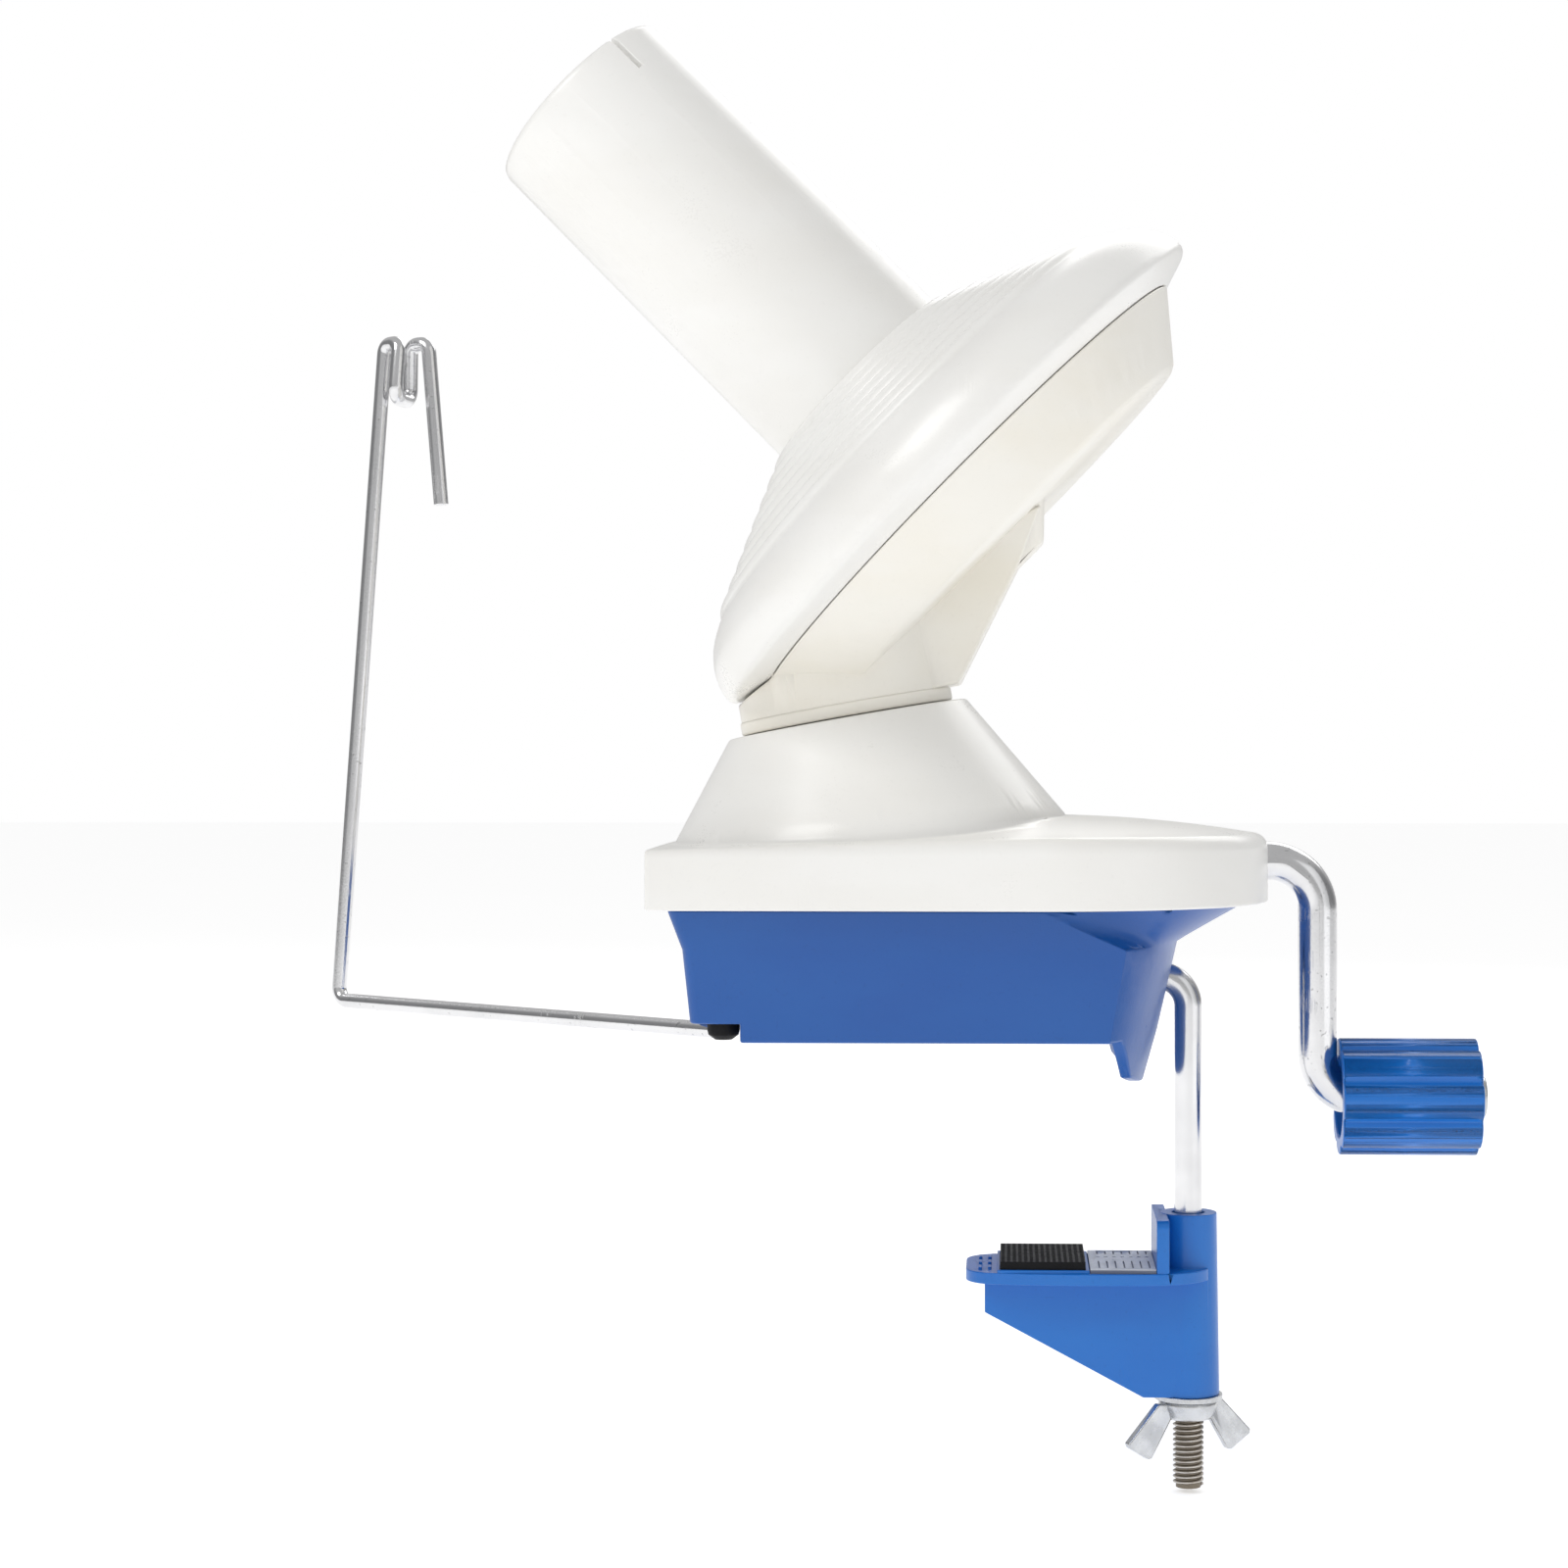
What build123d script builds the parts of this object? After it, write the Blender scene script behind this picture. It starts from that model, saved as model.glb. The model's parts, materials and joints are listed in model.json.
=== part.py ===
from build123d import *
import os
from math import atan, atan2, cos, degrees, hypot, pi, radians, sin, sqrt, tan

# Table-clamped ball winder with an inclined winding head, in millimetres.
# The origin is on the flat bottom face of the base: +X to the crank, +Z up, Y = 0 the middle plane.

# ---------------------------------------------------------------- driving dimensions
HEAD_TILT = 10.0            # lean of the head's axis towards -X
SPOOL_TILT = 45.0           # lean of the spool's axis towards -X
HEAD_BASE = (-10.8, 59.4)   # x, z of the head's axis at the rim of the pedestal
SPOOL_RIM = (10.2, 106.2)   # x, z of the spool's axis in the plane of the flange's rim
CRANK_Z = 32.0              # height of the crank's axis
WALL = 2.2                  # wall of the mouldings
RUN = 0.05                  # radial clearance of a running fit
TURN_GAP = 0.25             # height of the washer between the pedestal and the turning arm

COVER_LEFT = -45.3
COVER_HALF = 43.5
COVER_END_X = 26.0          # centre of the cover's round end
COVER_END_R = 44.3
COVER_Z0 = 24.3             # parting line of the two mouldings

PEDESTAL_FOOT = (-6.5, 38.3, 37.9, 4.4)   # centre x, centre z, radius, tilt of the cone's foot
PEDESTAL_RIM_R = 23.3

TRAY_CREASE_Z = 17.0
TRAY_STEP_X = -28.5         # the bottom is higher to the left of this, over the guide wire
TRAY_STEP_Z = 3.45
TAB_Z = -9.9
TAB_FACE_X = 43.5           # the tab's upright inner face, in the middle, and the radius it is bowed to
TAB_FACE_R = 121.3

ROD_R = 2.67                # clamp rod, blank of an M6 rolled thread
THREAD_R = 3.0
ROD_X = 55.1
ROD_Z = 9.9
ROD_END_Z = -88.9
THREAD_TOP_Z = -48.0

CRANK_R = 3.75
CRANK_ARM_X = 80.0
CRANK_PIN_Z = -13.4
GRIP_X = (84.0, 110.5)
GRIP_R = 11.2

SUN_TEETH = 13
SPOOL_TEETH = 54
PINION_TEETH = 10
CROWN_TEETH = 40

GUIDE_R = 1.5
GUIDE_PIVOT = (-32.0, -32.0)
GUIDE_RUN_Z = 1.75
GUIDE_CORNER = (-118.3, 36.0)

FLANGE_R = 61.8
TUBE_TOP = 104.2
FLANGE_LIP = (55.1, -2.8)   # radius and height of the lip's inner edge, in the spool's frame
SAUCER_RIM = (54.4, -3.15)  # radius and height of the saucer's upper edge, in the spool's frame
SAUCER_FLOOR_R = 44.5
SAUCER_FLOOR_H = -15.2
JAW_TOP = -46.0             # upper and lower face of the jaw's flange
JAW_LOW = -48.2
JAW_FOOT = -70.8            # lower end of the jaw, where the washer bears
JAW_COLLAR_TOP = -35.8
JAW_RIB_TOP = -35.9
PAD_X = (18.8, 35.0)        # length, half width and top of the rubber pad
PAD_HALF = 11.0
PAD_TOP = -43.9
STRIP_HALF = 11.4
STRIP_TOP = -45.2


# ---------------------------------------------------------------- frames and small helpers
def tilted_plane(x, z, tilt):
    """A plane whose normal leans from +Z towards -X by tilt degrees."""
    a = radians(tilt)
    return Plane(origin=(x, 0, z), x_dir=(cos(a), 0, sin(a)), z_dir=(-sin(a), 0, cos(a)))


HEAD = tilted_plane(HEAD_BASE[0], HEAD_BASE[1], HEAD_TILT)
SPOOL = tilted_plane(SPOOL_RIM[0], SPOOL_RIM[1], SPOOL_TILT)


def axis_crossing():
    """Distances from each frame's origin, along its axis, to the point where the two axes meet."""
    a, b = radians(HEAD_TILT), radians(SPOOL_TILT)
    dx = SPOOL_RIM[0] - HEAD_BASE[0]
    dz = SPOOL_RIM[1] - HEAD_BASE[1]
    along_head = (dx * cos(b) + dz * sin(b)) / sin(b - a)
    along_spool = (dx * cos(a) + dz * sin(a)) / sin(b - a)
    return along_head, along_spool


HEAD_APEX, SPOOL_APEX = axis_crossing()


def disc(radius, low, high):
    """A cylinder about Z between two heights."""
    return Pos(0, 0, (low + high) / 2) * Cylinder(radius, high - low)


def ring(outer, inner, low, high):
    return disc(outer, low, high) - disc(inner, low - 1, high + 1)


def block(x0, x1, y0, y1, z0, z1):
    size = (x1 - x0, y1 - y0, z1 - z0)
    return Pos((x0 + x1) / 2, (y0 + y1) / 2, (z0 + z1) / 2) * Box(*size)


def turned(points):
    """A solid of revolution about Z from a closed outline of (radius, height) points."""
    outline = Polyline([(r, 0, z) for r, z in points], close=True)
    return revolve(make_face(outline), Axis.Z, 360)


def along_x(solid):
    """Turns a solid about Z into one about X."""
    return Rot(0, 90, 0) * solid


def bent_wire(points, bends, radius):
    """A round wire along straight runs with filleted corners."""
    path = FilletPolyline(*points, radius=bends)
    start = Plane(origin=path @ 0, z_dir=path % 0)
    return sweep(start * Circle(radius), path=path)


def save(node, solid):
    export_step(solid, "parts/" + node + ".step")
    print(node, round(solid.volume, 1))


# ---------------------------------------------------------------- gears
def tooth_outline(teeth, pitch_r, cone, thin, addendum):
    """Outline of a gear as (x, y) points, with involute flanks and a backlash of thin millimetres."""
    module = 2 * pitch_r / teeth
    virtual_r = pitch_r / cos(radians(cone))
    base_r = virtual_r * cos(radians(20))
    add = addendum * module
    ded = 1.2 * module
    inv20 = tan(radians(20)) - radians(20)
    half = (pi * module / 2 - thin) / 2 / virtual_r

    def half_angle(r):
        if r <= base_r:
            return half + inv20
        a = sqrt((r / base_r) ** 2 - 1)
        return half + inv20 - (a - atan(a))

    levels = [virtual_r - ded, max(base_r, virtual_r - 0.75 * module), virtual_r, virtual_r + add]
    levels = sorted(set(round(v, 5) for v in levels))
    points = []
    for k in range(teeth):
        centre = 2 * pi * k / teeth
        flank = []
        for r in levels:
            real_r = pitch_r + (r - virtual_r) / cos(radians(cone))
            flank.append((real_r, half_angle(r) * virtual_r / pitch_r))
        for r, turn in flank:
            points.append((r * cos(centre - turn), r * sin(centre - turn)))
        for r, turn in reversed(flank):
            points.append((r * cos(centre + turn), r * sin(centre + turn)))
    return points


def bevel_gear(teeth, pitch_r, distance, face, phase=0.0, thin=0.2, addendum=0.8):
    """A bevel gear about Z with its pitch circle at z = 0 and its cone's apex at z = distance."""
    cone = degrees(atan2(pitch_r, abs(distance)))
    outline = tooth_outline(teeth, pitch_r, cone, thin, addendum)
    sections = []
    for z in (-face / 2, face / 2):
        scale = (distance - z) / distance
        points = [(x * scale, y * scale) for x, y in outline]
        sections.append(Pos(0, 0, z) * make_face(Polyline(points, close=True)))
    return Rot(0, 0, phase) * loft(sections, ruled=True)


def crown_teeth(teeth, pitch_r, apex_x, axial, thin=0.2, addendum=0.75):
    """Teeth of a crown gear about X, pointing towards -X from a pitch circle axial beyond apex_x."""
    slope = axial / pitch_r
    solids = []
    for k in range(teeth):
        sections = []
        for r in (pitch_r - 2.6, pitch_r + 2.6):
            module = 2 * r / teeth
            pitch_x = apex_x + r * slope
            tip = addendum * module
            root = 1.45 * module
            half = (pi * module / 2 - thin * r / pitch_r) / 2
            lean = tan(radians(20))
            corners = [(pitch_x - tip, half - tip * lean), (pitch_x + root, half + root * lean)]
            outline = [(x, -y, r) for x, y in corners] + [(x, y, r) for x, y in reversed(corners)]
            sections.append(make_face(Polyline(outline, close=True)))
        solids.append(Rot(360 * k / teeth, 0, 0) * loft(sections, ruled=True))
    return solids


# ---------------------------------------------------------------- gear layout
SUN_S = 14.0                                   # the fixed sun gear, above the pedestal's rim
SUN_DISTANCE = HEAD_APEX - SUN_S
SUN_ANGLE = degrees(atan2(sin(radians(SPOOL_TILT - HEAD_TILT)),
                          SPOOL_TEETH / SUN_TEETH + cos(radians(SPOOL_TILT - HEAD_TILT))))
SPOOL_ANGLE = SPOOL_TILT - HEAD_TILT - SUN_ANGLE
SUN_R = SUN_DISTANCE * tan(radians(SUN_ANGLE))
MESH_LENGTH = hypot(SUN_R, SUN_DISTANCE)
SPOOL_GEAR_R = MESH_LENGTH * sin(radians(SPOOL_ANGLE))
SPOOL_GEAR_DISTANCE = MESH_LENGTH * cos(radians(SPOOL_ANGLE))
SPOOL_GEAR_H = SPOOL_APEX - SPOOL_GEAR_DISTANCE      # height of the pitch circle, from the rim plane

CRANK_APEX_X = HEAD_BASE[0] + (HEAD_BASE[1] - CRANK_Z) * tan(radians(HEAD_TILT))
CRANK_APEX_S = -(HEAD_BASE[1] - CRANK_Z) / cos(radians(HEAD_TILT))
CROWN_R = 21.5
SHAFT_ANGLE = 90 + HEAD_TILT
PINION_ANGLE = degrees(atan2(sin(radians(SHAFT_ANGLE)),
                             CROWN_TEETH / PINION_TEETH + cos(radians(SHAFT_ANGLE))))
CROWN_ANGLE = SHAFT_ANGLE - PINION_ANGLE
CRANK_MESH = CROWN_R / sin(radians(CROWN_ANGLE))
PINION_R = CRANK_MESH * sin(radians(PINION_ANGLE))
PINION_DISTANCE = CRANK_MESH * cos(radians(PINION_ANGLE))
PINION_S = CRANK_APEX_S + PINION_DISTANCE
CROWN_AXIAL = CRANK_MESH * cos(radians(CROWN_ANGLE))


# ---------------------------------------------------------------- top cover and pedestal
def crown_section(half, edge_z, crown_z, corner, floor_z):
    """Cross-section of the cover in the XY plane of a sketch: x is across, y is height."""
    c = corner * (1 - sqrt(0.5))
    with BuildSketch() as section:
        with BuildLine():
            Line((-half, floor_z), (half, floor_z))
            Line((half, floor_z), (half, edge_z - corner))
            ThreePointArc((half, edge_z - corner), (half - c, edge_z - c), (half - corner, edge_z))
            ThreePointArc((half - corner, edge_z), (0, crown_z), (corner - half, edge_z))
            ThreePointArc((corner - half, edge_z), (c - half, edge_z - c), (-half, edge_z - corner))
            Line((-half, edge_z - corner), (-half, floor_z))
        make_face()
    return section.sketch


def cover_body(inset, floor_z):
    """The crowned, round-ended body of the cover, made smaller all round by inset."""
    left = Plane(origin=(COVER_LEFT + inset, 0, 0), x_dir=(0, 1, 0), z_dir=(1, 0, 0))
    right = Plane(origin=(COVER_END_X, 0, 0), x_dir=(0, 1, 0), z_dir=(1, 0, 0))
    thin = crown_section(COVER_HALF - inset, 35.3 - inset, 35.6 - inset, 1.3, floor_z)
    full = crown_section(COVER_END_R - inset, 37.6 - inset, 41.0 - inset, 3.0, floor_z)
    straight = loft([left * thin, right * full], ruled=True)
    half = (right * full).face() & block(COVER_END_X - 1, COVER_END_X + 1, 0, 80, floor_z - 5, 80)
    round_end = revolve(half, Axis((COVER_END_X, 0, 0), (0, 0, -1)), 180)
    return straight + round_end


def pedestal(inset, skirt_z):
    """Cone between the tilted foot circle and the tilted rim circle, with a skirt under the foot."""
    foot_x, foot_z, foot_r, foot_tilt = PEDESTAL_FOOT
    foot = tilted_plane(foot_x, foot_z, foot_tilt)
    rim = tilted_plane(HEAD_BASE[0], HEAD_BASE[1], HEAD_TILT)
    low = Plane(origin=(foot_x, 0, skirt_z))
    cone = loft([foot * Circle(foot_r - inset), rim * Circle(PEDESTAL_RIM_R - inset)], ruled=True)
    skirt = loft([low * Circle(foot_r - inset + 0.3), foot * Circle(foot_r - inset)], ruled=True)
    return cone + skirt


def screw_posts(points, radius, low, high):
    return [Pos(x, y, 0) * disc(radius, low, high) for x, y in points]


HOUSING_SCREWS = [(-22.0, 33.5), (-22.0, -33.5), (31.0, 30.0), (31.0, -30.0)]
BRACKET_SCREWS = [(x, y) for x in (-20.0, -13.0) for y in (-8.6, 8.6)]
BEARING_SCREWS = [(23.0, -9.5), (23.0, 9.5)]


def make_top_cover():
    body = cover_body(0, COVER_Z0) + pedestal(0, 33.0)
    hollow = cover_body(WALL, COVER_Z0 - 1) + pedestal(WALL, 30.0)
    body = body - (hollow - HEAD.location * disc(60, -2.6, 20))
    for post in screw_posts(HOUSING_SCREWS, 4.0, COVER_Z0, 36.5):
        body = body + (post & cover_body(1.0, COVER_Z0))
    boss = Pos(0, 0, CRANK_Z) * along_x(disc(7.2, 58.0, 72.0))
    body = body + (boss & cover_body(1.0, COVER_Z0))
    body = body - HEAD.location * disc(7.0, -5, 1)
    body = body - Pos(0, 0, CRANK_Z) * along_x(disc(5.2, 55, 66) + disc(4.05, 65, 75))
    for x, y in HOUSING_SCREWS:
        body = body - Pos(x, y, 0) * disc(1.2, COVER_Z0 - 1, 33.5)
    return body


# ---------------------------------------------------------------- lower housing
def tray_outline(z, left, half, corner_x, end_x, corner=2.0):
    """Plan of the tray at one height: straight sides and a bowed right end."""
    with BuildSketch(Plane(origin=(0, 0, z))) as plan:
        with BuildLine():
            Line((left + corner, -half), (corner_x, -half))
            ThreePointArc((corner_x, -half), (end_x, 0), (corner_x, half))
            Line((corner_x, half), (left + corner, half))
            c = corner * (1 - sqrt(0.5))
            ThreePointArc((left + corner, half), (left + c, half - c), (left, half - corner))
            Line((left, half - corner), (left, corner - half))
            ThreePointArc((left, corner - half), (left + c, c - half), (left + corner, -half))
        make_face()
    return plan.sketch


def tray_body(inset, bottom):
    """The tray's outer form, or its hollow when inset is the wall thickness."""
    i = inset
    top = tray_outline(COVER_Z0, -41.7 + i, 40.5 - i, 26.0, 66.0 - i)
    crease = tray_outline(TRAY_CREASE_Z, -39.1 + i, 38.9 - i, 41.7 - i, 52.9 - i)
    low = tray_outline(bottom, -37.4 + i, 37.6 - i, 38.7 - i, 49.0 - i)
    return loft([crease, top], ruled=True) + loft([low, crease], ruled=True)


def make_lower_housing():
    floor = 2.4
    body = tray_body(0, 0.0)
    hollow = tray_body(WALL, floor) & block(-60, 80, -60, 60, floor, COVER_Z0)
    step = block(-60, TRAY_STEP_X, -60, 60, -1, TRAY_STEP_Z)
    raised = block(-60, TRAY_STEP_X + 1.5, -60, 60, 0, TRAY_STEP_Z + 2.2)
    hollow = hollow - raised
    rim_cut = block(-60, 80, -60, 60, COVER_Z0 - 0.01, COVER_Z0 + 1)
    body = body - hollow - step - rim_cut
    # The stop tab carries the right end wall down past the table's edge.
    tab_top = tray_outline(0.0, -37.4, 37.6, 38.7, 49.0)
    tab_low = tray_outline(TAB_Z - 1, -39.0, 37.0, 37.0, 45.9)
    tab = loft([tab_low, tab_top], ruled=True)
    tab = tab - Pos(TAB_FACE_X - TAB_FACE_R, 0, 0) * disc(TAB_FACE_R, TAB_Z - 5, 1)
    with BuildSketch(Plane.YZ) as shape:
        with BuildLine():
            Line((33.0, 0), (24.5, -7.4))
            ThreePointArc((24.5, -7.4), (0, TAB_Z), (-24.5, -7.4))
            Line((-24.5, -7.4), (-33.0, 0))
            Line((-33.0, 0), (33.0, 0))
        make_face()
    body = body + (tab & extrude(shape.sketch, 60))
    posts = screw_posts(HOUSING_SCREWS, 4.0, floor - 0.5, COVER_Z0)
    guide_post = Pos(GUIDE_PIVOT[0], GUIDE_PIVOT[1], 0) * disc(4.5, TRAY_STEP_Z, 11.0)
    rib = block(20, 26, -12, 12, floor - 0.5, 25.0)
    bracket_seat = block(-24, -9.0, -11, 11, floor - 0.5, 5.0)
    for post in posts + [guide_post, rib, bracket_seat]:
        body = body + (post & tray_body(1.0, 0.0))
    for x, y in HOUSING_SCREWS:
        body = body - Pos(x, y, 0) * (disc(1.7, -1, 30) + disc(3.2, -1, 4.0))
    body = body - Pos(GUIDE_PIVOT[0], GUIDE_PIVOT[1], 0) * disc(GUIDE_R + RUN, 0, 20)
    body = body - Pos(GUIDE_PIVOT[0], GUIDE_PIVOT[1], 0) * disc(3.2, 0, TRAY_STEP_Z + 0.6)
    body = body - Pos(0, 0, ROD_Z) * along_x(disc(ROD_R, 10, 60))
    body = body - Pos(0, 0, ROD_Z) * along_x(disc(ROD_R + 0.7, 40, 60))
    for x, y in BRACKET_SCREWS:
        body = body - Pos(x, y, 0) * disc(1.1, 0.8, 6)
    for x, y in BEARING_SCREWS:
        body = body - Pos(x, y, 0) * disc(1.1, 15, 26)
    return body


# ---------------------------------------------------------------- fixed inner parts
def make_axle_bracket():
    """Post with a foot; its slanted boss grips the lower end of the head's axle."""
    foot = block(-23, -9.5, -10.5, 10.5, 5.0, 8.0)
    post = block(-22, -12.0, -6.5, 6.5, 5.0, 40.5)
    boss = HEAD.location * disc(5.5, -26.0, -12.6)
    web = block(-14.0, -9.4, -4.5, 4.5, 5.0, 40.5)
    body = foot + post + web + boss - HEAD.location * disc(2.5, -27.5, 0)
    for x, y in BRACKET_SCREWS:
        body = body - Pos(x, y, 0) * disc(1.4, 4, 9)
    return body


def pan_screw(shank_r, head_r, head_h, length, recess=0.9):
    """A pan-head screw, its head above z = 0 and a cross recess in it."""
    head = disc(head_r, 0, head_h)
    head = fillet(head.edges().group_by(Axis.Z)[-1], head_h * 0.45)
    cross = block(-head_r * 0.55, head_r * 0.55, -0.35, 0.35, head_h - recess, head_h + 1)
    cross = cross + Rot(0, 0, 90) * cross
    return head + disc(shank_r, -length, 0) - cross


def make_head_bush():
    return HEAD.location * ring(7.0, 4.0 + RUN, -3.6, 0)


def make_crank_bearing():
    body = block(19.4, 26.6, -13, 13, 25.0, 27.5) + block(20, 26, -7, 7, 25.0, CRANK_Z)
    body = body + Pos(0, 0, CRANK_Z) * along_x(disc(7.0, 20, 26))
    body = body - Pos(0, 0, CRANK_Z) * along_x(disc(CRANK_R + RUN, 15, 30))
    for x, y in BEARING_SCREWS:
        body = body - Pos(x, y, 0) * disc(1.4, 20, 30)
    return body


def make_crank_bush():
    return Pos(0, 0, CRANK_Z) * along_x(ring(5.2, CRANK_R + RUN, 58.0, 66.0))


def make_clamp_rod():
    """Bent rod: a level run into the tray, one bend, and the threaded stem."""
    points = [(17.0, 0, ROD_Z), (ROD_X, 0, ROD_Z), (ROD_X, 0, THREAD_TOP_Z)]
    rod = bent_wire(points, 6.0, ROD_R)
    stem = Pos(ROD_X, 0, 0) * disc(THREAD_R, ROD_END_Z, THREAD_TOP_Z)
    stem = chamfer(stem.edges().group_by(Axis.Z)[0], 0.8)
    tail = Pos(0, 0, ROD_Z) * along_x(disc(ROD_R, 11.0, 17.0))
    return rod + stem + tail


def hex_nut(flats, bore_r, height):
    nut = extrude(RegularPolygon(flats / 2, 6, major_radius=False), height)
    return nut - disc(bore_r, -1, height + 1)


# ---------------------------------------------------------------- crank
def make_crank_rod():
    points = [(1.5, 0, CRANK_Z), (CRANK_ARM_X, 0, CRANK_Z), (CRANK_ARM_X, 0, CRANK_PIN_Z),
              (GRIP_X[1] - 0.8, 0, CRANK_PIN_Z)]
    rod = bent_wire(points, (9.5, 8.0), CRANK_R)
    screw_hole = Pos(0, 0, CRANK_PIN_Z) * along_x(disc(1.25, 100, 115))
    gear_hole = Pos(0, 0, CRANK_Z) * along_x(disc(1.25, 0, 10))
    return rod - screw_hole - gear_hole


def make_crown_gear():
    """Cup-shaped face gear: a hub and web on the shaft, and a toothed rim towards the pinion."""
    root_x = CRANK_APEX_X + CROWN_AXIAL + 1.2
    rim = ring(CROWN_R + 2.6, CROWN_R - 2.6, root_x, 4.0)
    web = ring(CROWN_R - 2.0, 8.0, 2.0, 4.0)
    hub = ring(8.5, CRANK_R, 1.6, 10.0)
    body = along_x(rim + web + hub)
    body = Pos(0, 0, CRANK_Z) * body
    teeth = crown_teeth(CROWN_TEETH, CROWN_R, CRANK_APEX_X, CROWN_AXIAL)
    body = body + [Pos(0, 0, CRANK_Z) * t for t in teeth]
    ribs = [Rot(60 * k, 0, 0) * block(4.0, 7.5, -0.8, 0.8, 8.0, CROWN_R) for k in range(6)]
    return body + [Pos(0, 0, CRANK_Z) * r for r in ribs]


def make_shaft_collar():
    body = along_x(ring(8.0, CRANK_R, 12.0, 18.0))
    body = Pos(0, 0, CRANK_Z) * body
    return body - Pos(15.0, 0, CRANK_Z) * disc(1.5, 2.0, 12.0)


def make_grip():
    """Fluted handle with eight lobes, hollow towards the crank."""
    lobes = 8
    points = []
    for k in range(lobes * 10):
        turn = 2 * pi * k / (lobes * 10)
        r = GRIP_R - 1.3 * (1 - abs(cos(lobes * turn / 2))) ** 1.5
        points.append((r * cos(turn), r * sin(turn)))
    outline = Spline(*points, periodic=True)
    body = extrude(make_face(outline), GRIP_X[1] - GRIP_X[0])
    body = body - disc(7.9, -1, 7.0) - disc(CRANK_R + RUN, 0, 40)
    body = Pos(GRIP_X[0], 0, CRANK_PIN_Z) * along_x(body)
    return body


# ---------------------------------------------------------------- head
def make_rotor_arm():
    """Saucer under the spool, its neck on the pedestal, a web between them, and the axle boss."""
    floor = SAUCER_FLOOR_H + 1.8
    rim_r, rim_h = SAUCER_RIM
    outside = [(0, SAUCER_FLOOR_H), (SAUCER_FLOOR_R - 0.8, SAUCER_FLOOR_H),
               (SAUCER_FLOOR_R + 0.4, SAUCER_FLOOR_H + 0.7), (rim_r, rim_h), (rim_r - 1.1, rim_h),
               (rim_r - 1.1, rim_h + 4.2)]
    inside = [(rim_r - 2.3, rim_h + 4.2), (rim_r - 2.3, rim_h), (SAUCER_FLOOR_R - 1.0, floor), (0, floor)]
    saucer = SPOOL.location * turned(outside + inside)
    cavity = SPOOL.location * turned([(rim_r - 2.3, 30), (0, 30)] + inside[:0:-1])
    neck = HEAD.location * disc(20.4, TURN_GAP, 52)
    collar = HEAD.location * disc(20.7, TURN_GAP, 2.8)
    web_outline = Polyline((-12, 0, 62), (11.0, 0, 66.2), (22.6, 0, 89.5), (26.5, 0, 100.0), (-4, 0, 86),
                           close=True)
    web = extrude(make_face(web_outline), 10.4, both=True)
    base = SPOOL * Pos(0.6, 0, -14.5) * RectangleRounded(18.0, 21.0, 4.0)
    nose = SPOOL * Pos(-1.2, 0, -20.9) * RectangleRounded(8.6, 12.0, 2.0)
    boss = loft([nose, base], ruled=True)
    roof = [(rim_r, rim_h), (FLANGE_LIP[0], rim_h), (61.0, -1.6), (90, -1.5), (90, 60), (0, 60)]
    above = SPOOL.location * turned(inside[::-1] + roof)
    body = saucer + ((neck + web) - above) + collar + boss
    bore = HEAD.location * disc(17.8, 3.2, 60)
    bore = bore - SPOOL.location * disc(9.5, -40, floor)
    body = body - cavity - bore
    hub = HEAD.location * disc(7.5, TURN_GAP, 9.6)
    body = body + hub + SPOOL.location * disc(8.0, SAUCER_FLOOR_H + 1, floor + 0.2)
    body = body - HEAD.location * disc(4.0, -1, 11.0)
    body = body - SPOOL.location * disc(3.0, -20.0, 0)
    return body


def make_rotor_hub():
    return HEAD.location * ring(4.0, 2.5 + RUN, PINION_S + 2.4, 11.0)


def make_pinion():
    gear = bevel_gear(PINION_TEETH, PINION_R, -PINION_DISTANCE, 4.6, phase=180 / PINION_TEETH)
    gear = Pos(0, 0, PINION_S) * gear
    return HEAD.location * (gear - disc(2.5 + RUN, PINION_S - 5, PINION_S + 5))


def make_sun_gear():
    gear = bevel_gear(SUN_TEETH, SUN_R, SUN_DISTANCE, 4.0)
    gear = Pos(0, 0, SUN_S) * gear
    return HEAD.location * (gear - disc(2.5, SUN_S - 5, SUN_S + 5))


# ---------------------------------------------------------------- spool
def flange_profile():
    """Outline of the ridged flange: rounded ridges from the tube out to a smooth band and a lip."""
    ridges = 8
    start, end = (21.0, 26.2), (52.0, 11.9)
    outer = []
    for k in range(ridges):
        for step in range(6):
            t = (k + step / 6) / ridges
            r = start[0] + t * (end[0] - start[0])
            h = start[1] + t * (end[1] - start[1])
            lift = 0.9 * sin(pi * step / 6)
            outer.append((r + lift * 0.42, h + lift * 0.91))
    outer += [end, (54.6, 10.7), (57.0, 9.2), (59.2, 6.9), (60.8, 4.1), (FLANGE_R, 1.1), (61.6, -0.3),
              (60.6, -1.1)]
    lip = [FLANGE_LIP, (54.7, -2.2), (55.0, -1.5), (59.4, 0.0)]
    inner = [(59.2, 1.8), (58.3, 3.9), (57.0, 6.0), (55.0, 7.7), (52.0, 9.1), (21.0, 23.4)]
    return outer + lip + inner


def make_spool_flange():
    return SPOOL.location * turned(flange_profile())


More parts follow.
